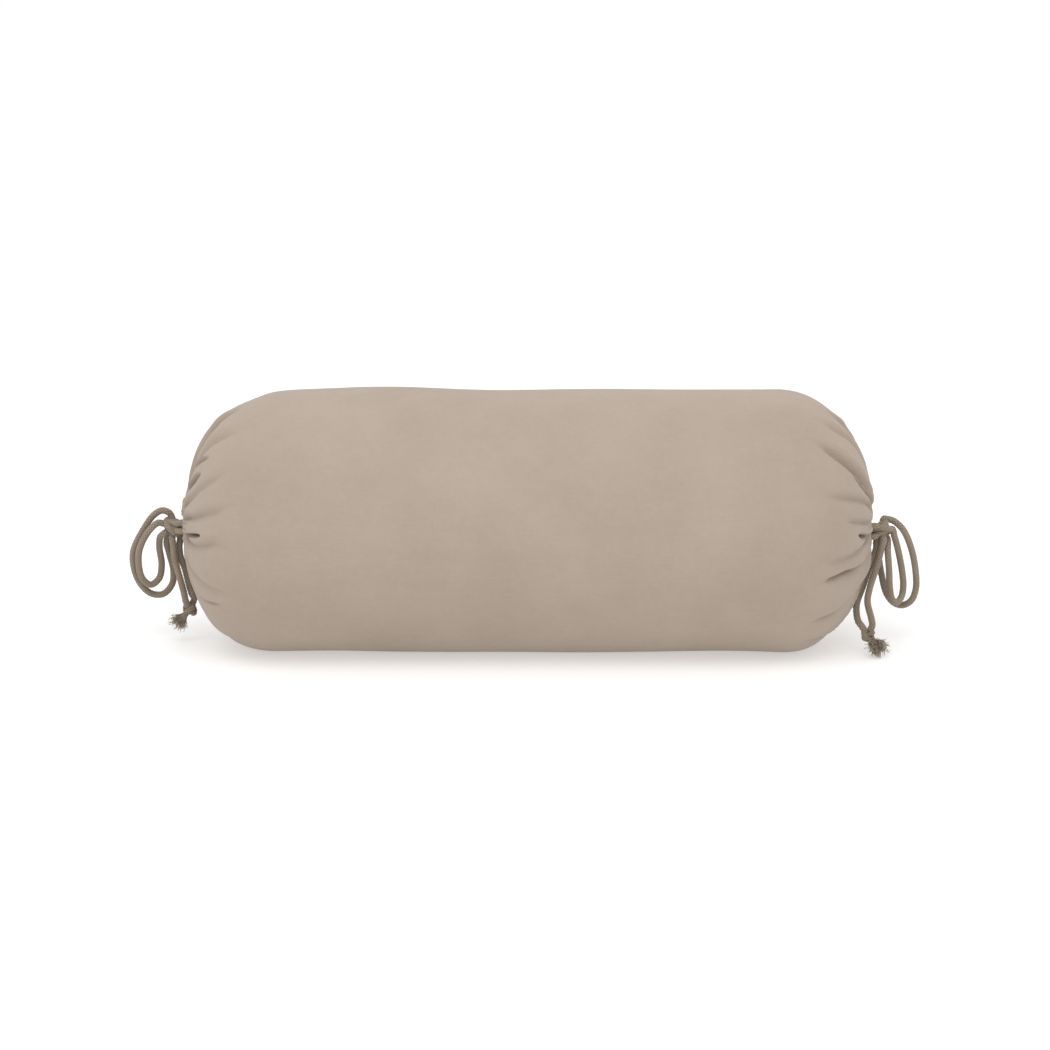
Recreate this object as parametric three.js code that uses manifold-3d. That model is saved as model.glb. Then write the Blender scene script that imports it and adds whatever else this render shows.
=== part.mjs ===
// A drawstring bolster pillow: a round, firmly stuffed pillow in a cotton cover. Each end of the cover is a
// hemmed mouth, drawn shut by a cord that runs through the hem and is tied outside it in a bow with one
// double loop. The two ends of each cord are knotted together and left frayed.
//
// Millimetres, +Z up. The pillow lies along X and rests on z = 0; the origin is under its middle.
import * as THREE from "three";
import { mergeVertices } from "three/addons/utils/BufferGeometryUtils.js";
import ManifoldModule from "manifold-3d";

const manifold = await ManifoldModule();
manifold.setup();
const { Manifold, Mesh: SolidMesh } = manifold;

// ---- driving dimensions -----------------------------------------------------------------------------
const coverLength = 610; // over the two gathered mouths
const coverDiameter = 234;
const endCrown = 85; // how far each gathered end bulges past the straight part
const settleDepth = 7; // how far the pillow's own weight flattens its underside
const coverCloth = 0.8; // wall of the outer cover, seam allowances included
const linerCloth = 0.6; // wall of the inner case
const layerGap = 0.5; // between one cloth layer and the next
const fitGap = 0.35; // between pieces that touch on the real pillow
const roundSides = 32; // flat sides round the pillow
const seamAngle = 24; // degrees round from the shoulder to the inner case's end seam

const cordDiameter = 5.5;
const neckRadius = 18; // centreline of the cord inside the drawn hem
const hemWall = 1.2; // folded hem, two layers of cloth
const hemSlack = 0.4; // room round the cord inside the hem
const hemOpening = 60; // degrees of the hem left open where the cord comes out
const hemToLiner = 1.5; // from the back of the hem to the inner case
const cordSides = 8;

const bowKnotRadius = 7.5;
const bowKnotStandOff = 8; // from the mouth's plane out to the bow knot's centre
const endKnotRadius = 7;
const tasselTop = 3; // radius where the frayed ends leave the knot
const tasselTip = 5.5; // radius where they spread

// ---- sizes that follow from them ----------------------------------------------------------------------
const coverRadius = coverDiameter / 2;
const halfLength = coverLength / 2;
const halfStraight = halfLength - endCrown;
const axisHeight = coverRadius - settleDepth;
const hemBore = cordDiameter / 2 + hemSlack;
const hemRadius = hemBore + hemWall;
const hemPlane = halfLength - hemRadius; // where the hem's ring lies along X
const mouthRadius = neckRadius + hemRadius; // of the cover, just outside the hem's ring
const linerInset = coverCloth + layerGap;
const linerRadius = coverRadius - linerInset;
const mouthAngle = THREE.MathUtils.radToDeg(Math.acos(mouthRadius / coverRadius));
const linerCrown = hemPlane - hemRadius - hemToLiner - halfStraight;
const fillInset = linerInset + linerCloth + fitGap;
const bowKnotPlane = halfLength + bowKnotStandOff;
// Every layer bends at these angles round its end, so that the layers stay one inside the other.
const endAngles = [0, 12, seamAngle, 36, 48, 59, 69, mouthAngle, 90];

// ---- materials ----------------------------------------------------------------------------------------
const cloth = (color, roughness) => new THREE.MeshStandardMaterial({ color, roughness, metalness: 0 });
const coverMaterial = cloth(0xb9a997, 0.85);
const linerMaterial = cloth(0xe6dfd0, 0.9);
const fillMaterial = cloth(0xefe9db, 1);
const cordMaterial = cloth(0x93826c, 0.9);

const pillow = new THREE.Group();

function add(name, geometry, material) {
  const mesh = new THREE.Mesh(geometry, material);
  mesh.name = name;
  pillow.add(mesh);
  return mesh;
}

// ---- the pillow's round layers ------------------------------------------------------------------------

function solidFrom(geometry) {
  const bare = new THREE.BufferGeometry().setAttribute("position", geometry.getAttribute("position"));
  const merged = mergeVertices(bare.setIndex(geometry.index), 1e-3);
  return new Manifold(
    new SolidMesh({
      numProp: 3,
      vertProperties: new Float32Array(merged.getAttribute("position").array),
      triVerts: new Uint32Array(merged.index.array),
    }),
  );
}

function geometryFrom(solid) {
  const { vertProperties, triVerts } = solid.getMesh();
  const shared = new THREE.BufferGeometry()
    .setAttribute("position", new THREE.BufferAttribute(vertProperties, 3))
    .setIndex(new THREE.BufferAttribute(triVerts, 1));
  const faceted = shared.toNonIndexed();
  faceted.computeVertexNormals();
  return faceted;
}

// A round solid along X over both ends. Its ends are ellipses, cut square at `mouth` degrees and carried on
// straight by `reach`; 90 degrees closes them. The pillow's weight presses its underside flat at `inset`.
function pressedSolid(radius, crown, mouth, reach, inset) {
  const end = endAngles
    .filter((angle) => angle <= mouth)
    .map((angle) => {
      const turn = THREE.MathUtils.degToRad(angle);
      const r = angle === 90 ? 0 : radius * Math.cos(turn);
      return new THREE.Vector2(r, halfStraight + crown * Math.sin(turn));
    });
  const last = end.at(-1);
  if (reach) end.push(new THREE.Vector2(last.x, last.y + reach));
  if (mouth < 90) end.push(new THREE.Vector2(0, end.at(-1).y));
  const start = end.map((p) => new THREE.Vector2(p.x, -p.y)).reverse();
  const geometry = new THREE.LatheGeometry([...start, ...end], roundSides);
  geometry.rotateZ(-Math.PI / 2); // the lathe's axis onto +X
  geometry.translate(0, 0, axisHeight);
  return solidFrom(geometry).trimByPlane([0, 0, 1], inset);
}

function coverSleeve() {
  const outside = pressedSolid(coverRadius, endCrown, mouthAngle, 0, 0);
  const inside = pressedSolid(
    coverRadius - coverCloth,
    endCrown - coverCloth,
    mouthAngle,
    2 * coverCloth,
    coverCloth,
  );
  return outside.subtract(inside);
}

function linerShell() {
  const inner = linerInset + linerCloth;
  const outside = pressedSolid(linerRadius, linerCrown, 90, 0, linerInset);
  return outside.subtract(pressedSolid(linerRadius - linerCloth, linerCrown - linerCloth, 90, 0, inner));
}

const seamPlane = halfStraight + linerCrown * Math.sin(THREE.MathUtils.degToRad(seamAngle));

const linerEnd = (side) =>
  linerShell().trimByPlane([side, 0, 0], seamPlane + fitGap / 2);

const linerSleeve = () =>
  linerShell()
    .trimByPlane([1, 0, 0], fitGap / 2 - seamPlane)
    .trimByPlane([-1, 0, 0], fitGap / 2 - seamPlane);

const stuffing = () =>
  pressedSolid(linerRadius - (fillInset - linerInset), linerCrown - (fillInset - linerInset), 90, 0, fillInset);

add("filling", geometryFrom(stuffing()), fillMaterial);
add("liner_sleeve", geometryFrom(linerSleeve()), linerMaterial);
add("liner_end_right", geometryFrom(linerEnd(1)), linerMaterial);
add("liner_end_left", geometryFrom(linerEnd(-1)), linerMaterial);
add("cover_sleeve", geometryFrom(coverSleeve()), coverMaterial);

// ---- cords, hems and knots ----------------------------------------------------------------------------

class Arc extends THREE.Curve {
  // A circle's arc in the plane of a mouth, centred on its opening.
  constructor(x, from, to) {
    super();
    Object.assign(this, { x, from, to });
  }
  getPoint(t, target = new THREE.Vector3()) {
    const angle = this.from + (this.to - this.from) * t;
    return target.set(this.x, neckRadius * Math.cos(angle), axisHeight + neckRadius * Math.sin(angle));
  }
}

function roundSection(radius, bore) {
  const section = new THREE.Shape().absarc(0, 0, radius, 0, 2 * Math.PI);
  if (bore) section.holes.push(new THREE.Path().absarc(0, 0, bore, 0, 2 * Math.PI, true));
  return section;
}

function swept(path, steps, radius, bore) {
  const options = { extrudePath: path, steps, curveSegments: cordSides / 2, bevelEnabled: false };
  return new THREE.ExtrudeGeometry(roundSection(radius, bore), options);
}

const throughPoints = (points) => new THREE.CatmullRomCurve3(points, false, "centripetal");

// The first two points of a cord that leaves a knot squarely, in the direction of `toward`.
function squarely(knot, knotRadius, toward) {
  const away = toward.clone().sub(knot).normalize();
  const start = knotRadius + 1.5 * fitGap;
  return [start, start + cordDiameter / 2].map((d) => knot.clone().addScaledVector(away, d));
}

// The cord's route from the back of the hem's ring, out of the hem's opening and to the bow knot. `turn` is
// +1 for one half of the cord and -1 for the other.
function neckRoute(side, openingAt, bowKnot, turn) {
  const half = THREE.MathUtils.degToRad(hemOpening / 2);
  const clear = THREE.MathUtils.degToRad(13); // the cord keeps to the ring this far past the hem's end
  const inHem = new Arc(side * hemPlane, openingAt + turn * half, openingAt + turn * Math.PI);
  const past = new Arc(side * hemPlane, openingAt + turn * (half - clear), openingAt).getPoint(0);
  const outside = past.clone().setX(side * (halfLength + cordDiameter / 2));
  return [...inHem.getSpacedPoints(9).reverse(), past, ...squarely(bowKnot, bowKnotRadius, outside).reverse()];
}

// What hangs from one mouth. `side` is +1 at the right end and -1 at the left one; the routes are measured
// from the bow knot's centre, with the first number pointing away from the pillow.
function tie(name, side, knotPlace, openingAt, routes) {
  const knot = new THREE.Vector3(side * bowKnotPlane, knotPlace.y, axisHeight + knotPlace.z);
  const place = ([out, back, up]) => new THREE.Vector3(knot.x + side * out, knot.y + back, knot.z + up);

  const half = THREE.MathUtils.degToRad(hemOpening / 2);
  const hemArc = new Arc(side * hemPlane, openingAt + half, openingAt + 2 * Math.PI - half);
  add("hem_" + name, swept(hemArc, 22, hemRadius, hemBore), coverMaterial);

  const first = neckRoute(side, openingAt, knot, 1);
  const second = neckRoute(side, openingAt, knot, -1);
  const neck = throughPoints([...first.reverse(), ...second.slice(1)]);
  add("neck_cord_" + name, swept(neck, 36, cordDiameter / 2), cordMaterial);

  add("bow_knot_" + name, new THREE.SphereGeometry(bowKnotRadius, 14, 8), cordMaterial).position.copy(knot);
  const endKnot = place(routes.endKnot);
  const strand = (points, steps, lastKnot, lastRadius) => {
    const between = points.map(place);
    const start = squarely(knot, bowKnotRadius, between.shift());
    const end = squarely(lastKnot, lastRadius, between.pop()).reverse();
    return swept(throughPoints([...start, ...between, ...end]), steps, cordDiameter / 2);
  };
  add("loop_outer_" + name, strand(routes.loopOuter, 20, knot, bowKnotRadius), cordMaterial);
  add("loop_inner_" + name, strand(routes.loopInner, 18, knot, bowKnotRadius), cordMaterial);
  add("tail_near_" + name, strand(routes.tailNear, 12, endKnot, endKnotRadius), cordMaterial);
  add("tail_far_" + name, strand(routes.tailFar, 12, endKnot, endKnotRadius), cordMaterial);

  add("end_knot_" + name, new THREE.SphereGeometry(endKnotRadius, 12, 8), cordMaterial).position.copy(endKnot);
  const along = place(routes.tasselTip).sub(endKnot);
  const tasselLength = along.length() - endKnotRadius - fitGap;
  along.normalize();
  const shape = new THREE.CylinderGeometry(tasselTip, tasselTop, tasselLength, 10);
  const tassel = add("tassel_" + name, shape, cordMaterial);
  tassel.position.copy(endKnot).addScaledVector(along, endKnotRadius + fitGap + tasselLength / 2);
  tassel.quaternion.setFromUnitVectors(new THREE.Vector3(0, 1, 0), along);
}

// The right bow hangs a little forward, and its tails reach the surface in front of the pillow's end.
tie("right", 1, { y: -8, z: -6 }, THREE.MathUtils.degToRad(196), {
  loopOuter: [
    [2.9, 3.7, 6.7],
    [6.5, 5, 8.6],
    [12.4, 5.2, 6.8],
    [21.3, 5, -1.5],
    [29.3, 4.2, -19.8],
    [33.7, 3, -42.7],
    [33.8, 3, -56],
    [30.2, 4.5, -66.5],
    [23, 7.5, -71.5],
    [15.6, 11, -70],
    [9.2, 13.5, -62],
    [4, 14, -43],
    [0.5, 11.5, -24],
    [-0.5, 8, -15],
    [-0.4, 4.5, -6.8],
  ],
  loopInner: [
    [8, -1.6, 0.8],
    [12.5, -1.4, -5],
    [16.5, 0, -18.2],
    [21.3, 2.4, -40],
    [22.5, 2, -52],
    [21, -1, -60.8],
    [16.2, -6.5, -65],
    [11, -12, -60.5],
    [8.2, -14.4, -48],
    [7.5, -12.6, -34],
    [6.6, -7, -18.5],
    [5.1, 0.8, -6.4],
  ],
  tailNear: [
    [-2.4, -1.2, -7.7],
    [-3.4, -3.8, -16],
    [-7, -7.2, -25],
    [-10.3, -9.8, -33.7],
    [-16.2, -15, -49.7],
    [-21.3, -20, -64],
    [-20.3, -25, -76.5],
    [-15.8, -28.9, -82.8],
  ],
  tailFar: [
    [1.8, -5.4, -5.8],
    [0.6, -9, -14.5],
    [-2, -11.8, -24.5],
    [-4.7, -14.6, -32.7],
    [-10.2, -20, -48.7],
    [-12.2, -24, -59.6],
    [-8.8, -27.6, -74],
    [-8.9, -29.2, -81.9],
  ],
  endKnot: [-11.6, -30, -89],
  tasselTip: [-2, -54, -98],
});

// The left bow stands further out before it drops, and its tails hang straight down beside it.
tie("left", -1, { y: -2, z: -5 }, THREE.MathUtils.degToRad(183), {
  loopOuter: [
    [2.5, 2.9, 7.3],
    [6, 3, 13],
    [11.5, 2.8, 14.4],
    [18.5, 2.2, 10.5],
    [26.5, 1.2, 0],
    [37.5, 0, -22],
    [37.4, 0.2, -38.5],
    [32, 2.2, -53.5],
    [23.5, 5.5, -62.8],
    [13.5, 9.2, -64.2],
    [5.6, 11.8, -56],
    [4, 12.2, -43.5],
    [7, 9.8, -26.2],
    [8.5, 6.6, -15.5],
    [4.5, 3.7, -5.8],
  ],
  loopInner: [
    [7.2, -2.5, 3],
    [14, -5, 5],
    [23, -6.4, -3],
    [31, -7.6, -19],
    [32, -7, -35],
    [29.3, -4, -47],
    [22.8, 1.5, -53.5],
    [16, 6.4, -48.5],
    [13.8, 8, -36.5],
    [15, 5.4, -20],
    [13.3, 0.5, -9.5],
    [6.6, -3.7, -3.3],
  ],
  tailNear: [
    [-3.6, -1.6, -7.2],
    [-4, -4, -16],
    [-5, -5.4, -26],
    [-8.5, -6, -36],
    [-11.5, -5.5, -50],
    [-13.6, -1.8, -61],
    [-14.3, 0.9, -68.8],
  ],
  tailFar: [
    [1.2, -5.3, -6.1],
    [0.5, -10.2, -15],
    [-0.4, -11.6, -25],
    [-2.8, -12.1, -36],
    [-6.2, -10.6, -51],
    [-7.8, -7.6, -61],
    [-9.3, -4.4, -69.2],
  ],
  endKnot: [-11.6, -1, -75.6],
  tasselTip: [2.6, -6, -91],
});

export default pillow;
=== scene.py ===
import math

import bmesh
import bpy
import numpy as np
from mathutils import Matrix, Vector, noise


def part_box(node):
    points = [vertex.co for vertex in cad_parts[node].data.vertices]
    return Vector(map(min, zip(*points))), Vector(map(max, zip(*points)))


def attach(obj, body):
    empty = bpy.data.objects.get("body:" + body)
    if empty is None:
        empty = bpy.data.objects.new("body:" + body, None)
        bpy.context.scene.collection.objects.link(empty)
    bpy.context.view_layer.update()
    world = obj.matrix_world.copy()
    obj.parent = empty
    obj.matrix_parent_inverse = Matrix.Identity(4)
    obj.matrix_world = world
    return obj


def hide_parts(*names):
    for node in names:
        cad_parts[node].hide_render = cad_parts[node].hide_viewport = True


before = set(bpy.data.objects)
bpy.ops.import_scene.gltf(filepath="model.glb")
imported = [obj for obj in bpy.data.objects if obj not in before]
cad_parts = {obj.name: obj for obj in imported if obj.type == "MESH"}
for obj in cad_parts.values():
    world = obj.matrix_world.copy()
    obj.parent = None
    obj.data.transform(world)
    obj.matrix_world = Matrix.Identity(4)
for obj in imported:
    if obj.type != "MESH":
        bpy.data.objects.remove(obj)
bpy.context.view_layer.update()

# ---- Studio ---------------------------------------------------------------------------------------------
# The pillow lies on a white table that is lit faintly from below, in a white room, under one wide softbox
# above and in front of it. The camera looks along +Y from a little above, through a long lens.

cover_low, cover_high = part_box("cover_sleeve")
pillow_radius = (cover_high.y - cover_low.y) / 2
axis_height = cover_high.z - pillow_radius
floor_height = cover_low.z

camera_elevation = math.radians(14)
camera_distance = 2.5
aimed_left, aimed_low = 0.0018, 0.0037
camera_target = Vector((-aimed_left, 0, axis_height - aimed_low))

camera_data = bpy.data.cameras.new("camera")
camera_data.sensor_width = 36
camera_data.lens = 96.4
camera_data.clip_end = 50
camera = bpy.data.objects.new("camera", camera_data)
toward_camera = Vector((0, -math.cos(camera_elevation), math.sin(camera_elevation)))
camera.location = camera_target + toward_camera * camera_distance
camera.rotation_euler = (math.pi / 2 - camera_elevation, 0, 0)
bpy.context.scene.collection.objects.link(camera)
bpy.context.scene.camera = camera
bpy.context.scene.view_settings.view_transform = "Standard"


def softbox(name, place, aim, size, power):
    """A rectangular studio light at `place`, turned towards `aim`."""
    data = bpy.data.lights.new(name, "AREA")
    data.shape = "RECTANGLE"
    data.size, data.size_y = size
    data.energy = power
    light = bpy.data.objects.new(name, data)
    light.location = place
    light.rotation_euler = (Vector(aim) - Vector(place)).to_track_quat("-Z", "Y").to_euler()
    bpy.context.scene.collection.objects.link(light)


softbox("key_softbox", place=(-0.15, -1.0, 2.0), aim=(0, 0, 0.1), size=(2.2, 1.1), power=17)

world = bpy.data.worlds.new("studio_walls")
world.use_nodes = True
world.node_tree.nodes["Background"].inputs["Color"].default_value = (1, 1, 1, 1)
world.node_tree.nodes["Background"].inputs["Strength"].default_value = 1.0
bpy.context.scene.world = world


def new_material(name):
    """A material, its shader, and functions that add a node, add a maths node, and wire the shader."""
    material = bpy.data.materials.new(name)
    material.use_nodes = True
    tree = material.node_tree
    shader = tree.nodes["Principled BSDF"]

    def node(kind, settings=None, **inputs):
        made = tree.nodes.new("ShaderNode" + kind)
        for key, value in (settings or {}).items():
            setattr(made, key, value)
        for key, value in inputs.items():
            socket = made.inputs[int(key[1:])] if key[0] == "i" and key[1:].isdigit() else made.inputs[key]
            if isinstance(value, bpy.types.NodeSocket):
                tree.links.new(value, socket)
            else:
                socket.default_value = value
        return made

    def maths(operation, a, b=0.0, c=0.0):
        return node("Math", {"operation": operation}, i0=a, i1=b, i2=c).outputs[0]

    def wire(output, socket_name):
        tree.links.new(output, shader.inputs[socket_name])

    return material, shader, node, maths, wire


floor_below_pillow = 0.0002
floor_mesh = bmesh.new()
bmesh.ops.create_grid(floor_mesh, x_segments=2, y_segments=2, size=6)
bmesh.ops.translate(floor_mesh, verts=floor_mesh.verts, vec=(0, 0, floor_height - floor_below_pillow))
floor_data = bpy.data.meshes.new("floor")
floor_mesh.to_mesh(floor_data)
floor_mesh.free()
floor = bpy.data.objects.new("floor", floor_data)
bpy.context.scene.collection.objects.link(floor)
floor_paint, floor_shader, *_ = new_material("floor_paint")
floor_shader.inputs["Base Color"].default_value = (0.62, 0.62, 0.62, 1)
floor_shader.inputs["Emission Color"].default_value = (1, 0.99, 0.975, 1)
floor_shader.inputs["Emission Strength"].default_value = 0.42
floor_shader.inputs["Roughness"].default_value = 0.9
floor_shader.inputs["Specular IOR Level"].default_value = 0.1
floor_data.materials.append(floor_paint)

# ---- Drawstrings: loops and tails -----------------------------------------------------------------------
# Soft braided cotton cord, 5.5 mm thick and about 0.9 m long at each end of the pillow. Its two halves leave
# the bow knot as a double loop and two tails. Each strand is a tube swept along its route, with a braid.

cord_diameter = 0.0055
cord_step = 0.0009
braid_yarns = 6
braid_pitch = 0.019
weld_distance = 1e-6
knot_radius = (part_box("bow_knot_right")[1].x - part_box("bow_knot_right")[0].x) / 2
end_knot_radius = (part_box("end_knot_right")[1].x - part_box("end_knot_right")[0].x) / 2


def middle(node):
    low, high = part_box(node)
    return (low + high) / 2


def smooth_route(points, step):
    """A centripetal Catmull-Rom curve through the points, sampled every `step` metres along its length."""
    samples_per_span = 24
    knots = [np.array(p, float) for p in points]
    knots = [2 * knots[0] - knots[1], *knots, 2 * knots[-1] - knots[-2]]
    dense = []
    for a, b, c, d in zip(knots, knots[1:], knots[2:], knots[3:]):
        t1 = np.linalg.norm(b - a) ** 0.5
        t2 = t1 + np.linalg.norm(c - b) ** 0.5
        t3 = t2 + np.linalg.norm(d - c) ** 0.5
        for t in np.linspace(t1, t2, samples_per_span, endpoint=False):
            ab = a + (b - a) * t / t1
            bc = b + (c - b) * (t - t1) / (t2 - t1)
            cd = c + (d - c) * (t - t2) / (t3 - t2)
            abc = ab + (bc - ab) * t / t2
            bcd = bc + (cd - bc) * (t - t1) / (t3 - t1)
            dense.append(abc + (bcd - abc) * (t - t1) / (t2 - t1))
    dense = np.array([*dense, knots[-2]])
    along = np.concatenate([[0], np.cumsum(np.linalg.norm(np.diff(dense, axis=0), axis=1))])
    wanted = np.linspace(0, along[-1], max(4, round(along[-1] / step) + 1))
    return np.column_stack([np.interp(wanted, along, dense[:, k]) for k in range(3)])


def braid_relief(around, along):
    """How far the braid's yarns stand up, from 0 in the gaps to 1 on a crown. `around` is in turns."""
    right = braid_yarns * (around + along / braid_pitch)
    left = braid_yarns * (around - along / braid_pitch)
    over = np.sin(math.pi * right) * np.sin(math.pi * left)
    crown_right = np.abs(np.sin(math.pi * right)) ** 0.7
    crown_left = np.abs(np.sin(math.pi * left)) ** 0.7
    return np.where(over > 0, crown_right * (0.55 + 0.45 * over), crown_left * (0.55 - 0.45 * over))


def wrapped_tube(route, sides, radius_at, uv_name, turns_scale=1.0, cap=True):
    """A grid rolled round the points of `route` and welded into a tube, as a bmesh with a UV map.

    `radius_at` takes turns round the tube and metres along it. The UV map holds the turns, times
    `turns_scale`, and the metres.
    """
    route = np.asarray(route, float)
    stations = len(route)
    steps = np.linalg.norm(np.diff(route, axis=0), axis=1)
    along = np.concatenate([[0], np.cumsum(steps)])
    tangent = np.gradient(route, along, axis=0)
    tangent /= np.linalg.norm(tangent, axis=1)[:, None]
    no_strand_starts_along = (0.31, 0.87, 0.39)
    side = np.cross(tangent[0], no_strand_starts_along)
    side_at = []
    for t in tangent:
        side = side - t * (side @ t)
        side /= np.linalg.norm(side)
        side_at.append(side)
    side_at = np.array(side_at)
    other_at = np.cross(tangent, side_at)
    tube = bmesh.new()
    uv = tube.loops.layers.uv.new(uv_name)
    bmesh.ops.create_grid(tube, x_segments=stations - 1, y_segments=sides, size=0.5, calc_uvs=True)
    for face in tube.faces:
        for loop in face.loops:
            loop[uv].uv = (loop[uv].uv.y * turns_scale, loop[uv].uv.x * along[-1])
    tube.verts.ensure_lookup_table()
    flat = np.array([v.co[:2] for v in tube.verts])
    station = np.rint((flat[:, 0] + 0.5) * (stations - 1)).astype(int)
    turn = np.rint((flat[:, 1] + 0.5) * sides) % sides / sides
    radius = radius_at(turn, along[station])
    place = (
        route[station]
        + (radius * np.cos(2 * math.pi * turn))[:, None] * side_at[station]
        + (radius * np.sin(2 * math.pi * turn))[:, None] * other_at[station]
    )
    for vert, there in zip(tube.verts, place):
        vert.co = there
    bmesh.ops.remove_doubles(tube, verts=tube.verts, dist=weld_distance)
    if cap:
        bmesh.ops.holes_fill(tube, edges=[e for e in tube.edges if e.is_boundary], sides=0)
        bmesh.ops.poke(tube, faces=[f for f in tube.faces if len(f.verts) > 4])
    return tube


def piece_from(name, shape):
    """A smooth-shaded object made of a bmesh, at the origin."""
    data = bpy.data.meshes.new(name)
    bmesh.ops.recalc_face_normals(shape, faces=shape.faces)
    shape.to_mesh(data)
    shape.free()
    data.shade_smooth()
    made = bpy.data.objects.new(name, data)
    bpy.context.scene.collection.objects.link(made)
    return made


def braided_cord(name, route, diameter, sides=30, relief=0.0006):
    """A closed tube of braided cord along the points of `route`."""
    sunk = 0.35

    def radius_at(turn, along):
        return diameter / 2 - relief * sunk + relief * braid_relief(turn, along)

    return piece_from(name, wrapped_tube(route, sides, radius_at, "cord_turns_and_metres"))


def cord_cotton():
    """Unbleached grey-brown cotton in random blotches: painted shade darkens the gaps between the yarns and
    the grooves of a fine twist on each yarn.
    """
    material, shader, node, maths, wire = new_material("cord_cotton")
    threads_per_yarn = 5
    place = node("UVMap", {"uv_map": "cord_turns_and_metres"}).outputs["UV"]
    split = node("SeparateXYZ", Vector=place).outputs
    yarns = maths("MULTIPLY", split["X"], float(braid_yarns))
    lay = maths("MULTIPLY", split["Y"], braid_yarns / braid_pitch)
    right = maths("ADD", yarns, lay)
    left = maths("SUBTRACT", yarns, lay)

    def wave(value, times):
        return maths("SINE", maths("MULTIPLY", value, math.pi * times))

    over = maths("MULTIPLY", wave(right, 1), wave(left, 1))
    right_on_top = maths("GREATER_THAN", over)

    def on_top(right_yarn, left_yarn):
        mix = node("Mix", {"data_type": "FLOAT"}, Factor=right_on_top, i2=left_yarn, i3=right_yarn)
        return mix.outputs[0]

    crown = maths("ABSOLUTE", on_top(wave(right, 1), wave(left, 1)))
    twist = on_top(wave(right, threads_per_yarn), wave(left, threads_per_yarn))
    height = maths("ADD", crown, maths("MULTIPLY", twist, 0.16))
    fibres = node("TexCoord").outputs["Object"]
    fuzz = node("TexNoise", Vector=fibres, Scale=900.0, Detail=4.0, Roughness=0.7).outputs[0]
    blotch = node("TexNoise", Vector=fibres, Scale=70.0, Detail=3.0).outputs[0]
    # The colour follows the yarns' height as well as a random blotch: the low gaps get painted shade, and the
    # crowns stay light.
    blotch_and_gap_shade = maths("MULTIPLY_ADD", blotch, 0.5, height)
    spread = node("MapRange", i0=blotch_and_gap_shade, i1=0.25, i2=1.35, i3=0.0, i4=1.0).outputs[0]
    colour = node("ValToRGB", Fac=spread)
    stops = colour.color_ramp.elements
    # The darker stop is the painted shade in the gaps between yarns.
    stops[0].color = (0.105, 0.079, 0.054, 1)
    stops[1].color = (0.355, 0.287, 0.217, 1)
    wire(colour.outputs[0], "Base Color")
    rough = node("MapRange", i0=spread, i1=0.0, i2=1.0, i3=0.95, i4=0.8).outputs[0]
    wire(rough, "Roughness")
    shader.inputs["Sheen Weight"].default_value = 0.25
    shader.inputs["Specular IOR Level"].default_value = 0.25
    yarn_bump = node("Bump", Strength=0.5, Distance=0.0003, Height=height)
    fuzz_bump = node("Bump", Strength=0.35, Distance=0.0002, Height=fuzz, Normal=yarn_bump.outputs[0])
    wire(fuzz_bump.outputs[0], "Normal")
    return material


cord_material = cord_cotton()

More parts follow.
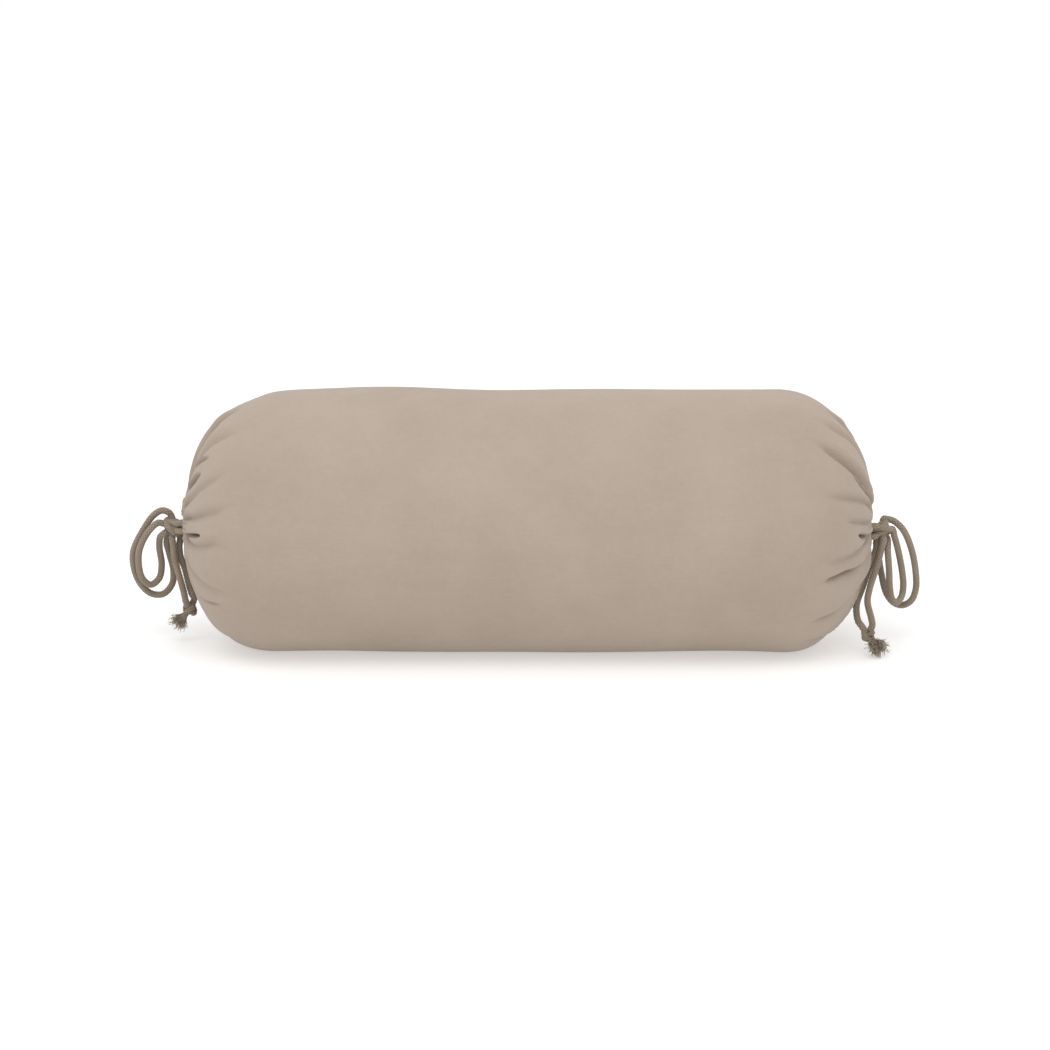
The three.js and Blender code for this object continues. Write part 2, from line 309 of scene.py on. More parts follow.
# Each route is measured from its bow knot's middle, in metres: out from the pillow, back, and up.
routes = {
    "right": {
        "loop_outer": [
            (0.0029, 0.0037, 0.0067), (0.0065, 0.005, 0.0086), (0.0124, 0.0052, 0.0068),
            (0.0213, 0.005, -0.0015), (0.0293, 0.0042, -0.0198), (0.0337, 0.003, -0.0427),
            (0.0338, 0.003, -0.056), (0.0302, 0.0045, -0.0665), (0.023, 0.0075, -0.0715),
            (0.0156, 0.011, -0.07), (0.0092, 0.0135, -0.062), (0.004, 0.014, -0.043),
            (0.0005, 0.0115, -0.024), (-0.0005, 0.008, -0.015), (-0.0004, 0.0045, -0.0068),
        ],
        "loop_inner": [
            (0.008, -0.0016, 0.0008), (0.0125, -0.0014, -0.005), (0.0165, 0, -0.0182),
            (0.0213, 0.0024, -0.04), (0.0225, 0.002, -0.052), (0.021, -0.001, -0.0608),
            (0.0162, -0.0065, -0.065), (0.011, -0.012, -0.0605), (0.0082, -0.0144, -0.048),
            (0.0075, -0.0126, -0.034), (0.0066, -0.007, -0.0185), (0.0051, 0.0008, -0.0064),
        ],
        "tail_near": [
            (-0.0024, -0.0012, -0.0077), (-0.0034, -0.0038, -0.016), (-0.007, -0.0072, -0.025),
            (-0.0103, -0.0098, -0.0337), (-0.0162, -0.015, -0.0497), (-0.0213, -0.02, -0.064),
            (-0.0203, -0.025, -0.0765), (-0.0158, -0.0289, -0.0828),
        ],
        "tail_far": [
            (0.0018, -0.0054, -0.0058), (0.0006, -0.009, -0.0145), (-0.002, -0.0118, -0.0245),
            (-0.0047, -0.0146, -0.0327), (-0.0102, -0.02, -0.0487), (-0.0122, -0.024, -0.0596),
            (-0.0088, -0.0276, -0.074), (-0.0089, -0.0292, -0.0819),
        ],
    },
    "left": {
        "loop_outer": [
            (0.0025, 0.0029, 0.0073), (0.006, 0.003, 0.013), (0.0115, 0.0028, 0.0144),
            (0.0185, 0.0022, 0.0105), (0.0265, 0.0012, 0), (0.0375, 0, -0.022),
            (0.0374, 0.0002, -0.0385), (0.032, 0.0022, -0.0535), (0.0235, 0.0055, -0.0628),
            (0.0135, 0.0092, -0.0642), (0.0056, 0.0118, -0.056), (0.004, 0.0122, -0.0435),
            (0.007, 0.0098, -0.0262), (0.0085, 0.0066, -0.0155), (0.0045, 0.0037, -0.0058),
        ],
        "loop_inner": [
            (0.0072, -0.0025, 0.003), (0.014, -0.005, 0.005), (0.023, -0.0064, -0.003),
            (0.031, -0.0076, -0.019), (0.032, -0.007, -0.035), (0.0293, -0.004, -0.047),
            (0.0228, 0.0015, -0.0535), (0.016, 0.0064, -0.0485), (0.0138, 0.008, -0.0365),
            (0.015, 0.0054, -0.02), (0.0133, 0.0005, -0.0095), (0.0066, -0.0037, -0.0033),
        ],
        "tail_near": [
            (-0.0036, -0.0016, -0.0072), (-0.004, -0.004, -0.016), (-0.005, -0.0054, -0.026),
            (-0.0085, -0.006, -0.036), (-0.0115, -0.0055, -0.05), (-0.0136, -0.0018, -0.061),
            (-0.0143, 0.0009, -0.0688),
        ],
        "tail_far": [
            (0.0012, -0.0053, -0.0061), (0.0005, -0.0102, -0.015), (-0.0004, -0.0116, -0.025),
            (-0.0028, -0.0121, -0.036), (-0.0062, -0.0106, -0.051), (-0.0078, -0.0076, -0.061),
            (-0.0093, -0.0044, -0.0692),
        ],
    },
}
outward = {"right": 1, "left": -1}
bow_knots = {side: middle("bow_knot_" + side) for side in outward}
end_knots = {side: middle("end_knot_" + side) for side in outward}
strands = {}


def from_knot(knot, radius, toward):
    """Two points of a strand that leaves the inside of a knot squarely, in the direction of `toward`."""
    held_inside, straight_outside = 0.0028, 0.0033
    away = (toward - knot).normalized()
    return [knot + away * (radius - held_inside), knot + away * (radius + straight_outside)]


for side, sign in outward.items():
    knot = bow_knots[side]
    for part, offsets in routes[side].items():
        points = [knot + Vector((sign * out, back, up)) for out, back, up in offsets]
        last_knot, last_radius = (knot, knot_radius) if "loop" in part else (end_knots[side], end_knot_radius)
        start = from_knot(knot, knot_radius, points[0])
        end = from_knot(last_knot, last_radius, points[-1])[::-1]
        route = smooth_route([*start, *points[1:-1], *end], cord_step)
        name = f"{part}_{side}"
        strand = braided_cord("cord_" + name, route, cord_diameter)
        strand.data.materials.append(cord_material)
        strands[name] = (strand, route)
        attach(strand, side + "_tie")
        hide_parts(name)

# ---- Bow knots and end knots ----------------------------------------------------------------------------
# Where the cord's halves are tied together outside the hem, and where the two tails end. Each is the same
# cord pulled tight, so it is squeezed thinner: wraps round the strands, and a three-lobed overhand knot.


def knotted_cord(name, route, thickness):
    knot = braided_cord(name, route, thickness, sides=24, relief=0.00055)
    knot.data.materials.append(cord_material)
    return knot


def tight_knot(name, centre, radius, axis, spin):
    """An overhand knot pulled tight round `axis`: a trefoil of cord that fills a ball of the given radius."""
    squeezed, lobe_height, trefoil_reach = 0.62, 1.9, 3.0
    turn = np.linspace(0, 2 * math.pi, 110)
    trefoil = np.column_stack(
        [
            np.sin(turn) + 2 * np.sin(2 * turn),
            np.cos(turn) - 2 * np.cos(2 * turn),
            -lobe_height * np.sin(3 * turn),
        ]
    )
    thickness = radius * squeezed
    trefoil *= (radius - thickness / 2) / trefoil_reach
    turned = Vector(axis).to_track_quat("Z", "Y").to_matrix().to_4x4() @ Matrix.Rotation(spin, 4, "Z")
    return knotted_cord(name, [centre + turned @ Vector(p) for p in trefoil], thickness)


def wrapped_knot(name, centre, radius, axis, toward_front):
    """A slipped knot: cord wound twice round the strands, then brought slantwise over its own wraps."""
    squeezed, sunk, wrap_pitch, bulges_out, comes_down = 0.6, 0.32, 0.92, 0.42, 1.9
    thickness = radius * squeezed
    reach = radius - thickness * sunk
    turn = np.linspace(0.2 * math.pi, 4.1 * math.pi, 110)
    share = (turn - turn[0]) / (turn[-1] - turn[0])
    climb = thickness * wrap_pitch * (2.0 * share - 1.0)
    wound = np.column_stack([reach * np.cos(turn), reach * np.sin(turn), climb])
    over_turn = np.linspace(0, math.pi * 1.05, 50)[1:]
    last = turn[-1]
    over_reach = reach * (1 + bulges_out * np.sin(over_turn))
    slant = climb[-1] - thickness * comes_down * (0.5 - 0.5 * np.cos(over_turn))
    over = np.column_stack(
        [over_reach * np.cos(last + over_turn), over_reach * np.sin(last + over_turn), slant]
    )
    front = Vector(toward_front)
    up = Vector(axis).normalized()
    front = (front - up * front.dot(up)).normalized()
    across = up.cross(front)
    middle_of_over = last + math.pi * 0.5
    spin = Matrix.Rotation(-middle_of_over, 3, "Z")
    frame_of_knot = Matrix((front, across, up)).transposed()
    route = [centre + frame_of_knot @ (spin @ Vector(p)) for p in [*wound, *over]]
    return knotted_cord(name, smooth_route(route[::3], cord_step), thickness)


wraps_radius = knot_radius * 1.1
pieces_on_tie = {}
for side, sign in outward.items():
    knot = bow_knots[side]
    body = side + "_tie"
    wound_about, over_faces = (0.3 * sign, -0.1, -0.9), (0.8 * sign, -1, 0.2)
    wraps = wrapped_knot("cord_bow_knot_" + side, knot, wraps_radius, wound_about, over_faces)
    core = tight_knot("cord_bow_knot_core_" + side, knot, knot_radius, (0.2 * sign, -0.9, 0.35), 0.7)
    hanging = end_knots[side]
    down = (middle("tassel_" + side) - hanging).normalized()
    end = tight_knot("cord_end_knot_" + side, hanging, end_knot_radius, down + Vector((0.5, 0, 0)), 0.4)
    for made, node in ((wraps, "bow_knot_"), (core, "bow_knot_"), (end, "end_knot_")):
        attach(made, body)
        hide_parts(node + side)
    pieces_on_tie[side] = [wraps, core, end]

# ---- Frayed ends ----------------------------------------------------------------------------------------
# Below each end knot the cut ends of the cord come unbraided: two short stubs that open into loose, kinked
# yarns of raw cotton. Each yarn is a thin tapered tube of few faces.

tassel_radius = 0.0055
yarns_in_tuft = 240
lengths_per_yarn = 6
fray_seed = {"right": 11, "left": 23}


def frayed_ends(name, knot, tip, seed):
    """The loose yarns between an end knot and the middle of their spread tips, curling back at the edge."""
    stub_aside, stub_radius, kink, taper = 0.0015, 0.0016, 0.0009, 0.93
    lowest = floor_height + 0.0007
    along = tip - knot
    turned = along.to_track_quat("Z", "Y").to_matrix()
    first = 0.7 * end_knot_radius
    reach_most = along.length - first
    chance = np.random.default_rng(seed)
    tuft = bmesh.new()
    for yarn in range(yarns_in_tuft):
        stub = Vector((-stub_aside if yarn % 2 else stub_aside, 0, 0))
        way = chance.uniform(0, 2 * math.pi)
        spread = chance.uniform(0.05, 1) ** 0.5
        aside = Vector((math.cos(way), math.sin(way), 0)) * spread
        reach = reach_most * chance.uniform(0.55, 1.0) * (1 - 0.18 * spread)
        opened = 1.8 * tassel_radius * chance.uniform(0.7, 1.2)
        curl = chance.uniform(-0.05, 0.5)
        kinks = chance.normal(0, kink, (lengths_per_yarn + 1, 3))
        thick = chance.uniform(0.00026, 0.0005)
        end = bmesh.ops.create_circle(tuft, cap_ends=True, segments=4, radius=thick)["verts"]
        ring_edges = list({e for v in end for e in v.link_edges})
        for vert in end:
            vert.co = turned @ (vert.co + stub + aside * stub_radius + Vector((0, 0, first))) + knot
        for station in range(1, lengths_per_yarn + 1):
            share = station / lengths_per_yarn
            grown = bmesh.ops.extrude_edge_only(tuft, edges=ring_edges)["geom"]
            ring = [g for g in grown if isinstance(g, bmesh.types.BMVert)]
            grown_edges = [g for g in grown if isinstance(g, bmesh.types.BMEdge)]
            ring_edges = [e for e in grown_edges if all(v in ring for v in e.verts)]
            middle_here = stub + aside * (stub_radius + (opened - stub_radius) * share**1.6)
            middle_here = middle_here + Vector(kinks[station]) * share
            middle_here.z = first + reach * (share - curl * spread * share**4)
            there = knot + turned @ middle_here
            there.z = max(there.z, lowest)
            centre = sum((v.co for v in ring), Vector()) / len(ring)
            for vert in ring:
                vert.co = there + (vert.co - centre) * taper
        bmesh.ops.contextual_create(tuft, geom=ring_edges)
    return piece_from(name, tuft)


def frayed_cotton():
    """The same cotton, unbraided: paler, and mottled from yarn to yarn."""
    material, shader, node, _, wire = new_material("frayed_cotton")
    place = node("TexCoord").outputs["Object"]
    blotch = node("TexNoise", Vector=place, Scale=420.0, Detail=4.0, Roughness=0.65).outputs[0]
    colour = node("ValToRGB", Fac=blotch)
    colour.color_ramp.elements[0].position = 0.3
    colour.color_ramp.elements[1].position = 0.72
    colour.color_ramp.elements[0].color = (0.17, 0.128, 0.09, 1)
    colour.color_ramp.elements[1].color = (0.50, 0.41, 0.315, 1)
    wire(colour.outputs[0], "Base Color")
    grain = node("TexNoise", Vector=place, Scale=2600.0, Detail=2.0).outputs[0]
    bump = node("Bump", Strength=0.4, Distance=0.0002, Height=grain)
    wire(bump.outputs[0], "Normal")
    shader.inputs["Roughness"].default_value = 0.95
    shader.inputs["Sheen Weight"].default_value = 0.3
    shader.inputs["Specular IOR Level"].default_value = 0.2
    return material


frayed_material = frayed_cotton()
for side, knot in end_knots.items():
    tassel_middle = middle("tassel_" + side)
    tip = knot + (tassel_middle - knot).normalized() * (2 * (tassel_middle - knot).length - end_knot_radius)
    tuft = frayed_ends("frayed_ends_" + side, knot, tip, fray_seed[side])
    tuft.data.materials.append(frayed_material)
    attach(tuft, side + "_tie")
    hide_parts("tassel_" + side)
    pieces_on_tie[side].append(tuft)

for name, (strand, route) in strands.items():
    side = name.split("_")[-1]

# ---- Cords in the hems ----------------------------------------------------------------------------------
# The middle of each drawstring, the same braided cord. It runs round inside the drawn hem, comes out of the
# gap in it from both sides, and goes to the bow knot.

neck_radius = 0.018
hem_set_in = 0.00265
hem_plane = cover_high.x - hem_set_in
cover_half_length = 0.305
turns_out_early = math.radians(13)
hem_opening = math.radians(60)
hem_opens_at = {"right": math.radians(196), "left": math.radians(183)}


def on_ring(side, turn):
    """A point on the middle of the hem's ring, at `turn` round from the back."""
    return np.array(
        [outward[side] * hem_plane, neck_radius * math.cos(turn), axis_height + neck_radius * math.sin(turn)]
    )


for side, sign in outward.items():
    halves = []
    for way in (1, -1):
        opens = hem_opens_at[side]
        inside = np.linspace(opens + way * math.pi, opens + way * hem_opening / 2, 10)
        past = on_ring(side, opens + way * (hem_opening / 2 - turns_out_early))
        outside = Vector((sign * (cover_half_length + cord_diameter / 2), past[1], past[2]))
        lead_in = from_knot(bow_knots[side], knot_radius, outside)[::-1]
        halves.append([*(on_ring(side, turn) for turn in inside), past, *lead_in])
    route = smooth_route([*halves[0][::-1], *halves[1][1:]], cord_step)
    neck = braided_cord("cord_in_hem_" + side, route, cord_diameter)
    neck.data.materials.append(cord_material)
    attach(neck, "pillow")
    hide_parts("neck_cord_" + side)

# ---- Hems -----------------------------------------------------------------------------------------------
# The folded edge of the cover at each mouth: a double layer of the cover's cotton, sewn into a channel for
# the cord and bunched tight along it, with a gap of 60 degrees where the cord comes out.


def cover_cotton():
    """Sand-coloured plain-weave cotton with uneven yarns, a little faded in patches and creased."""
    material, shader, node, maths, wire = new_material("cover_cotton")
    yarn_pitch = 0.0007
    cloth = node("UVMap", {"uv_map": "cloth_metres"}).outputs["UV"]
    place = node("TexCoord").outputs["Object"]

    def stretched(source, scale, *, detail=2.0, roughness=0.5):
        fitted = node("Mapping", Vector=source, Scale=scale).outputs[0]
        noise_node = node("TexNoise", Vector=fitted, Scale=1.0, Detail=detail, Roughness=roughness)
        return noise_node.outputs[0]

    across_yarns = stretched(cloth, (1500, 90, 1))
    along_yarns = stretched(cloth, (90, 1500, 1))
    slubs = maths("ADD", across_yarns, along_yarns)
    patches = stretched(place, (11, 11, 11), detail=5.0, roughness=0.6)
    specks = stretched(place, (160, 160, 160), detail=4.0, roughness=0.7)
    tone = maths("MULTIPLY_ADD", slubs, 0.34, patches)
    tone = maths("MULTIPLY_ADD", specks, 0.34, tone)
    spread = node("MapRange", i0=tone, i1=0.72, i2=1.32, i3=0.0, i4=1.0).outputs[0]
    colour = node("ValToRGB", Fac=spread)
    colour.color_ramp.elements[0].color = (0.345, 0.279, 0.226, 1)
    colour.color_ramp.elements[1].color = (0.402, 0.331, 0.272, 1)
    wire(colour.outputs[0], "Base Color")
    wire(node("MapRange", i0=slubs, i1=0.6, i2=1.4, i3=0.82, i4=0.95).outputs[0], "Roughness")

    split = node("SeparateXYZ", Vector=cloth).outputs
    wave = 2 * math.pi / yarn_pitch
    warp = maths("SINE", maths("MULTIPLY", split["X"], wave))
    weft = maths("SINE", maths("MULTIPLY", split["Y"], wave))
    weave = maths("MULTIPLY", warp, weft)
    thread = maths("MULTIPLY_ADD", slubs, 0.8, weave)
    creases = stretched(cloth, (170, 34, 1), detail=5.0, roughness=0.62)
    dents = stretched(place, (46, 60, 60), detail=3.0, roughness=0.5)
    crumple = maths("MULTIPLY_ADD", dents, 0.8, creases)
    crumple_bump = node("Bump", Strength=0.35, Distance=0.0016, Height=crumple).outputs[0]
    weave_bump = node("Bump", Strength=0.22, Distance=0.0001, Height=thread, Normal=crumple_bump).outputs[0]
    wire(weave_bump, "Normal")
    shader.inputs["Sheen Weight"].default_value = 0.12
    shader.inputs["Sheen Roughness"].default_value = 0.5
    shader.inputs["Specular IOR Level"].default_value = 0.2
    return material


cover_material = cover_cotton()
hem_pleats = 42
hem_drift = {"right": 1.7, "left": 4.1}
hem_sweep = 2 * math.pi - hem_opening
hem_length = neck_radius * hem_sweep
hem_cloth_round = 0.03
turned_in_steps = 6
drawn_closer = 0.08


def bunched(drift):
    """The channel's radius: fat bunched pleats that narrow to a rim round the cord at each end."""
    rim_radius, rim_length, flat_pleat, small_puff, more_puff = 0.003, 0.0022, 0.0004, 0.0009, 0.0005

    def radius_at(turn, along):
        pleat = hem_pleats * along / hem_length + 0.55 * np.sin(along * 260 + drift)
        pleat = pleat + 0.22 * np.sin(2 * math.pi * turn + drift + along * 90)
        puff = np.abs(np.sin(math.pi * pleat)) ** 0.65
        swell = 0.5 + 0.5 * np.sin(along * 410 + 2 * drift)
        from_end = np.minimum(along, hem_length - along)
        opened = np.clip(from_end / rim_length, 0, 1) ** 0.5
        return rim_radius + opened * (flat_pleat + (small_puff + more_puff * swell) * puff)

    return radius_at


for side in outward:
    start = hem_opens_at[side] + hem_opening / 2
    turns = np.linspace(start, start + hem_sweep, 380)
    route = np.array([on_ring(side, turn) for turn in turns])
    casing = wrapped_tube(
        route, 30, bunched(hem_drift[side]), "cloth_metres", turns_scale=hem_cloth_round, cap=False
    )
    # Both open ends are turned in round the cord.
    open_edges = [e for e in casing.edges if e.is_boundary]
    turned_in = bmesh.ops.extrude_edge_only(casing, edges=open_edges)["geom"]
    for vert in [g for g in turned_in if isinstance(g, bmesh.types.BMVert)]:
        at_start = (Vector(route[0]) - vert.co).length < (Vector(route[-1]) - vert.co).length
        end, further_in = (0, turned_in_steps) if at_start else (-1, -1 - turned_in_steps)
        step_in = route[further_in] - route[end]
        vert.co = vert.co.lerp(Vector(route[end]), drawn_closer) + Vector(step_in)
    hem = piece_from("hem_casing_" + side, casing)
    hem.data.materials.append(cover_material)
    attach(hem, "pillow")
    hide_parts("hem_" + side)

# ---- Inner pillow ---------------------------------------------------------------------------------------
# A ready-stuffed insert: fibre filling in a case of plain white cotton, a tube with a round panel sewn into
# each end. The cover's gathers press into it, so it sits a little further in than the cover's smooth part.

half_straight = 0.22
liner_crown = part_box("liner_end_right")[1].x - half_straight
pressed_in = 0.0115
liner_radius = pillow_radius - pressed_in
stuffing_set_in = 0.002
liner_columns = 96
seam_turn = math.radians(24)
seam_height = 0.0016


def quarter_ellipse(radius, crown, first, last, count):
    """Points of a pillow end's outline, from the turn `first` to `last`, as (along, out from the axis)."""
    turns = np.linspace(first, last, count)
    return [(half_straight + crown * math.sin(t), radius * math.cos(t)) for t in turns]


def turned_shape(outline, columns):
    """The outline spun round the pillow's axis: a bmesh of open rings or closed domes."""
    shape = bmesh.new()
    verts = [shape.verts.new((along, 0, axis_height - out)) for along, out in outline]
    edges = [shape.edges.new(pair) for pair in zip(verts, verts[1:])]
    bmesh.ops.spin(
        shape,
        geom=[*verts, *edges],
        cent=(0, 0, axis_height),
        axis=(1, 0, 0),
        angle=2 * math.pi,
        steps=columns,
        use_merge=True,
        use_duplicate=False,
    )
    bmesh.ops.remove_doubles(shape, verts=shape.verts, dist=weld_distance)
    return shape


def soft_white(name, tint, weave_scale, fluff):
    """A pale fabric or fibre: a fine grain, and tufts where it is loose."""
    material, shader, node, _, wire = new_material(name)
    place = node("TexCoord").outputs["Object"]
    grain = node("TexNoise", Vector=place, Scale=weave_scale, Detail=3.0, Roughness=0.6).outputs[0]
    tufts = node("TexNoise", Vector=place, Scale=55.0, Detail=6.0, Roughness=0.65).outputs[0]
    colour = node("ValToRGB", Fac=tufts)
    colour.color_ramp.elements[0].color = (*(0.86 * c for c in tint), 1)
    colour.color_ramp.elements[1].color = (*tint, 1)
    wire(colour.outputs[0], "Base Color")
    loft = node("Bump", Strength=0.6, Distance=fluff, Height=tufts).outputs[0]
    wire(node("Bump", Strength=0.3, Distance=0.0002, Height=grain, Normal=loft).outputs[0], "Normal")
    shader.inputs["Roughness"].default_value = 0.95
    shader.inputs["Sheen Weight"].default_value = 0.2
    return material


fibre = soft_white("polyester_fibre", (0.80, 0.78, 0.73), 700.0, 0.004)
liner_cotton = soft_white("liner_cotton", (0.74, 0.70, 0.62), 1800.0, 0.0006)

stuffing_radius, stuffing_crown = liner_radius - stuffing_set_in, liner_crown - stuffing_set_in
stuffed = quarter_ellipse(stuffing_radius, stuffing_crown, 0, math.pi / 2, 22)
outline = [(-along, out) for along, out in reversed(stuffed)] + stuffed
stuffing = piece_from("stuffing", turned_shape(outline, liner_columns))
stuffing.data.materials.append(fibre)
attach(stuffing, "pillow")
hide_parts("filling")

shoulder = quarter_ellipse(liner_radius, liner_crown, 0, seam_turn, 8)
outline = [(-along, out) for along, out in reversed(shoulder)] + shoulder
liner_sleeve = piece_from("liner_sleeve_panel", turned_shape(outline, liner_columns))
liner_pieces = [(liner_sleeve, "liner_sleeve")]
for side, sign in outward.items():
    cap = quarter_ellipse(liner_radius, liner_crown, seam_turn, math.pi / 2, 26)
    seam_along, seam_out = cap[0]
    seam_crest = seam_out + seam_height
    seam = [(seam_along - 0.0004, seam_crest), (seam_along + 0.0008, seam_crest)]
    outline = [(sign * along, out) for along, out in [*seam, *cap]]
    end = piece_from("liner_end_panel_" + side, turned_shape(outline, liner_columns))
    liner_pieces.append((end, "liner_end_" + side))
for piece, node_name in liner_pieces:
    piece.data.materials.append(liner_cotton)
    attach(piece, "pillow")
    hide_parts(node_name)

# ---- Cover ----------------------------------------------------------------------------------------------
# One piece of sand-coloured cotton, 735 mm round and 780 mm long, closed into a tube. The drawstrings gather
# its two ends into folds that run out from the mouths and die away on the shoulders; the middle stays smooth.

cover_flat = (0.735, 0.78)
cover_cloth_thickness = 0.0008
end_crown = cover_half_length - half_straight
hem_radius = 0.00435
mouth_radius = neck_radius + hem_radius
mouth_turn = math.acos(mouth_radius / pillow_radius)
cover_columns = 244
middle_row_count = 42
first_row_step, last_row_adds = 0.0015, 0.003

# Rows lie closest where the cloth is gathered. Each is a place (along, out from the axis).
fine_turns = np.linspace(mouth_turn, 0, 2000)
fine = np.array([(half_straight + end_crown * math.sin(t), pillow_radius * math.cos(t)) for t in fine_turns])
run = np.concatenate([[0], np.cumsum(np.linalg.norm(np.diff(fine, axis=0), axis=1))])
end_run = run[-1]
row_runs = [0.0]
while row_runs[-1] < end_run:
    row_runs.append(row_runs[-1] + first_row_step + last_row_adds * (row_runs[-1] / end_run) ** 1.5)
row_runs = np.array(row_runs) * end_run / row_runs[-1]
end_rows = [(np.interp(s, run, fine[:, 0]), np.interp(s, run, fine[:, 1])) for s in row_runs]
middle_places = np.linspace(half_straight, -half_straight, middle_row_count)[1:-1]
middle_rows = [(x, pillow_radius) for x in middle_places]
outline = [*end_rows, *middle_rows, *[(-x, out) for x, out in reversed(end_rows)]]
cover_shape = turned_shape(outline, cover_columns)

# The folds that a person in front sees, as (depth, half width, raised lip, route). Depths and widths are in
# millimetres. A route runs inwards as (millimetres from the axis, degrees above the front).
drawn_folds = {
    "left": [
        (9.5, 2.4, 3.2, [(112, 83), (101, 85), (79, 85), (50, 84)]),
        (4.6, 1.1, 2.0, [(92, 52), (86, 54), (60, 65), (47, 72)]),
        (12.0, 1.6, 2.0, [(80, 45), (70, 48), (57, 51), (38, 57)]),
        (12.0, 1.35, 1.2, [(84, 5), (70, 3.5), (57, 1.5), (34, -5)]),
        (4.2, 4.6, 1.4, [(115, 56), (112, 58), (88, 65), (66, 68)]),
        (4.0, 3.6, 1.4, [(114, 22), (99, 18), (65, 16), (45, 17)]),
        (4.2, 3.8, 1.6, [(112, 1), (104, 0.5), (96, 2), (65, -6), (45, -9)]),
        (5.5, 1.0, 1.8, [(106, -31), (99, -32), (80, -40), (63, -50), (45, -54)]),
        (3.4, 5.0, 1.2, [(115, -20), (96, -24), (60, -30)]),
        (5.0, 3.0, 1.8, [(114, -60), (90, -66), (60, -72)]),
        (3.2, 3.6, 1.0, [(110, 37), (85, 35), (55, 34)]),
    ],
    "right": [
        (7.0, 3.0, 2.4, [(114, 52), (103, 49), (86, 45), (70, 43)]),
        (9.0, 1.2, 3.0, [(88, 42), (83, 41), (63, 39), (40, 43)]),
        (3.6, 2.8, 1.2, [(115, 24), (86, 26), (61, 29), (45, 31)]),
        (10.0, 1.5, 2.2, [(76, 5), (57, 0.5), (34, -4)]),
        (4.0, 3.8, 1.4, [(114, -4), (108, -6), (88, -8), (60, -9)]),
        (14.0, 1.9, 3.2, [(112, -15), (100, -16.5), (90, -17), (65, -23), (38, -28)]),
        (11.0, 1.9, 4.2, [(116.8, -33), (112, -37), (94, -40), (71, -40), (41, -48)]),
        (9.5, 2.6, 3.4, [(116.9, -46), (115, -51), (94, -62), (60, -70)]),
        (4.0, 3.4, 1.4, [(112, 66), (90, 68), (60, 70)]),
        (6.0, 2.8, 2.0, [(106, 84), (80, 86), (50, 87)]),
        (3.2, 2.4, 1.0, [(97, 14), (75, 13), (50, 12)]),
    ],
}
# The folds behind and underneath follow no drawing: they are spread at uneven distances round the end.
fold_chance = np.random.default_rng(5)
first_hidden_fold, last_hidden_fold = -74.0, -264
for side in drawn_folds:
    around = first_hidden_fold
    while around > last_hidden_fold:
        around -= fold_chance.uniform(11, 19)
        reach = fold_chance.uniform(78, 114)
        bend = fold_chance.uniform(-9, 9)
        depth = fold_chance.uniform(4.0, 10.0)
        width = fold_chance.uniform(1.8, 3.2)
        route = [(reach, around), (reach * 0.7, around + bend * 0.5), (36, around + bend)]
        drawn_folds[side].append((depth, width, depth * 0.3, route))


def smooth_step(value, low, high):
    share = np.clip((value - low) / (high - low), 0, 1)
    return share * share * (3 - 2 * share)


def fold_push(side, out, around):
    """How far the folds push the cover in (below 0) or out, and how far off the nearest fold is.

    Both are in mm, at `out` mm from the axis and `around` degrees above the front.
    """
    total, nearest = np.zeros_like(out), np.full_like(out, 1e3)
    for depth, width, lip, route in drawn_folds[side]:
        radii = np.array([r for r, _ in route])[::-1]
        turns = np.array([t for _, t in route])[::-1]
        away = (around - np.interp(out, radii, turns) + 180) % 360 - 180
        away = np.radians(away) * out
        fade = smooth_step(out, radii[-1], radii[-1] - 0.34 * (radii[-1] - radii[0]))
        fade = fade * (0.35 + 0.65 * smooth_step(out, 24, 44))
        wide = width * (0.75 + 0.4 * smooth_step(out, 40, 105))
        groove = -depth * np.exp(-np.abs(away / wide) ** 1.5)
        hollow = -0.2 * depth * np.exp(-((away + 1.8 * wide) ** 2) / (2 * (2.8 * wide) ** 2))
        raised = lip * np.exp(-((away - 1.9 * wide) ** 2) / (2 * (1.1 * wide) ** 2))
        total += fade * (groove + hollow + raised)
        nearest = np.where(out < radii[-1], np.minimum(nearest, np.abs(away)), nearest)
    return total, nearest


# The outline again, by its place along X, for a point anywhere on the cover.
outline = np.array(outline)
step_along = np.linalg.norm(np.diff(outline, axis=0), axis=1)
outline_run = np.concatenate([[0], np.cumsum(step_along)])
outline_slope = np.gradient(outline[:, 1], outline[:, 0])


def on_outline(values, along):
    return np.interp(along, outline[::-1, 0], values[::-1])


def places_of(verts):
    """Each vertex's place along X, its distance from the axis before any fold, and its turn in degrees."""
    place = np.array([v.co for v in verts])
    turn = np.degrees(np.arctan2(place[:, 2] - axis_height, -place[:, 1]))
    return place[:, 0], on_outline(outline[:, 1], place[:, 0]), turn


# Smaller faces along the folds in front, so that their edges are crisp.
crisp_within_mm = 3.6
crisp_from_x, crisp_from_axis, crisp_to_degrees = 0.19, 0.04, 92
along, out, around = places_of(cover_shape.verts)
near_fold = np.zeros(len(along), bool)
for side, sign in outward.items():
    here = (along * sign > crisp_from_x) & (out > crisp_from_axis) & (np.abs(around) < crisp_to_degrees)
    near_fold[here] = fold_push(side, out[here] * 1000, around[here])[1] < crisp_within_mm
cover_shape.verts.index_update()
crisp = [e for e in cover_shape.edges if near_fold[e.verts[0].index] or near_fold[e.verts[1].index]]
bmesh.ops.subdivide_edges(cover_shape, edges=crisp, cuts=1, use_grid_fill=True)

cover_shape.verts.index_update()
along, out, around = places_of(cover_shape.verts)
turn = np.radians(around)
leans = on_outline(outline_slope, along)
upright = 1 / np.sqrt(1 + leans**2)
outwards = np.column_stack([-leans * upright, -upright * np.cos(turn), upright * np.sin(turn)])
points = np.column_stack([along, -out * np.cos(turn), axis_height + out * np.sin(turn)])

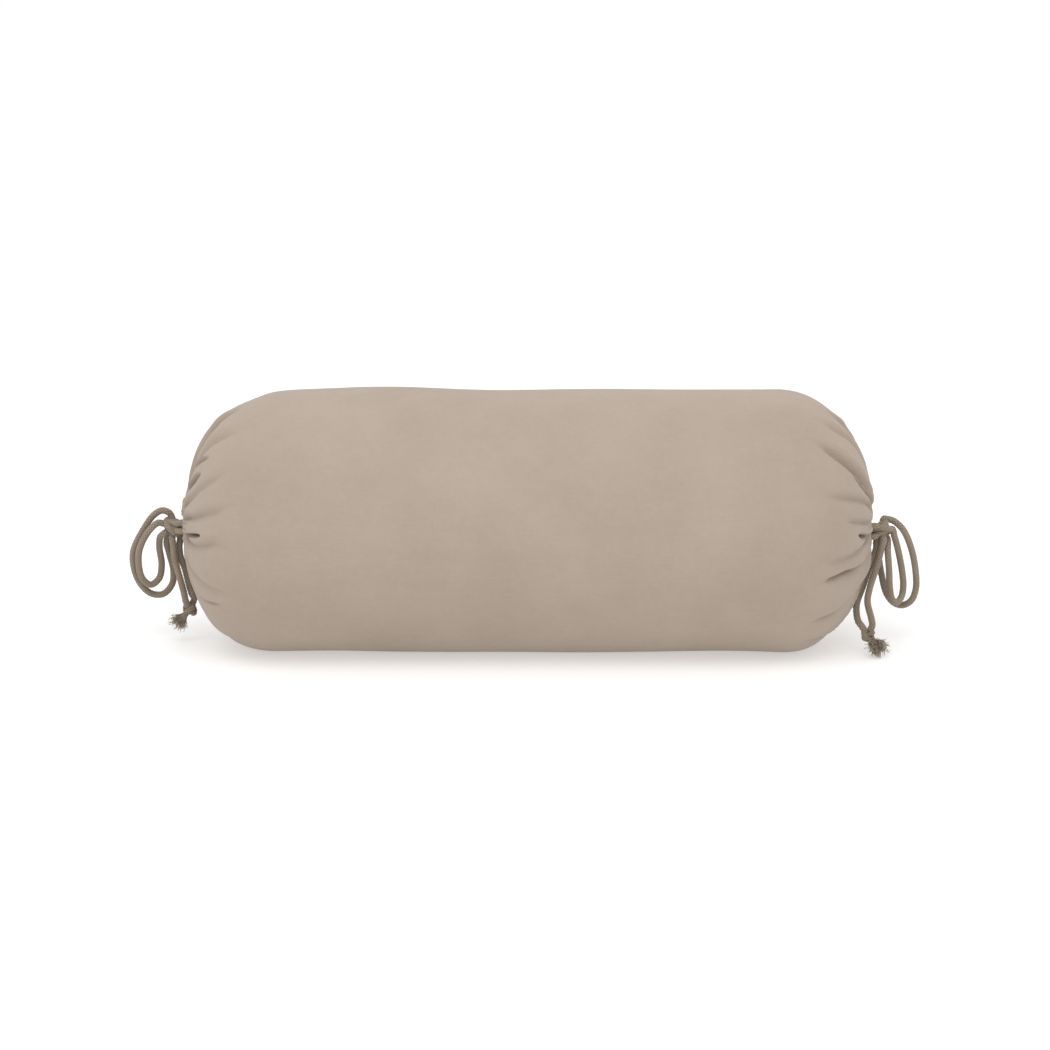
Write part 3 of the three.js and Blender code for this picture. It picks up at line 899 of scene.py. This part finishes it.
folds_from_x = 0.17
fine_gathers = 19
gather_height, gather_sunk = 0.0026, 0.0018
push = np.zeros(len(points))
for side, sign in outward.items():
    here = along * sign > folds_from_x
    from_axis = out[here] * 1000
    push[here] += fold_push(side, from_axis, around[here])[0] / 1000
    # Between the long folds the cloth is bunched finely, next to the hem.
    bunch = np.abs(np.sin(turn[here] * fine_gathers + 1.3 * np.sin(turn[here] * 5 + sign)))
    push[here] += smooth_step(from_axis, 58, 28) * (gather_height * bunch**0.8 - gather_sunk)

# Broad rises and hollows, as (place along X, degrees above the front, size along X, degrees wide, height).
bulges = [
    (-0.13, 100, 0.055, 40, 0.0022),
    (0.285, 55, 0.022, 45, 0.0045),
    (-0.245, 100, 0.024, 40, -0.004),
    (-0.272, -50, 0.026, 35, 0.005),
    (0.255, -60, 0.03, 35, 0.003),
]
for at_x, at_turn, size_x, size_turn, height in bulges:
    away = (around - at_turn + 180) % 360 - 180
    push += height * np.exp(-(((along - at_x) / size_x) ** 2) - (away / size_turn) ** 2)
broad_height, ripple_height = 0.0018, 0.0006
for i, spot in enumerate(points):
    broad = noise.noise(Vector((spot[0] * 9, spot[1] * 14, spot[2] * 14)) + Vector((3.1, 0, 0)))
    ripple = noise.noise(Vector((spot[0] * 14, spot[1] * 62, spot[2] * 62)) + Vector((0, 7.7, 0)))
    push[i] += broad_height * broad + ripple_height * ripple
# Next to the mouth the hem holds the cloth nearly still.
held_by_hem, held_out_to = 0.85, 0.032
push *= 1 - held_by_hem * smooth_step(-out, -held_out_to, -mouth_radius)
points = points + outwards * push[:, None]
# The pillow's weight presses the underside flat, and the cloth rounds off into the contact.
above_floor = 0.0005
contact = floor_height + above_floor
settle = 0.0016
points[:, 2] = contact + settle * np.logaddexp(0, (points[:, 2] - contact) / settle)
for vert, there in zip(cover_shape.verts, points):
    vert.co = there

# The cut cloth's own measure: metres round the tube and metres along it.
cloth_uv = cover_shape.loops.layers.uv.new("cloth_metres")
vert_turn = around / 360
vert_run = on_outline(outline_run, along)
for face in cover_shape.faces:
    turns_here = [vert_turn[loop.vert.index] for loop in face.loops]
    wraps = max(turns_here) - min(turns_here) > 0.5
    for loop, turn_here in zip(face.loops, turns_here):
        round_tube = turn_here + 1 if wraps and turn_here < 0 else turn_here
        loop[cloth_uv].uv = (round_tube * cover_flat[0], vert_run[loop.vert.index])
cover = piece_from("cover_cloth", cover_shape)
cover.data.materials.append(cover_material)

cloth_wall = cover.modifiers.new("cloth_wall", "SOLIDIFY")
cloth_wall.thickness = cover_cloth_thickness
cloth_wall.offset = -1
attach(cover, "pillow")
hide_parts("cover_sleeve")
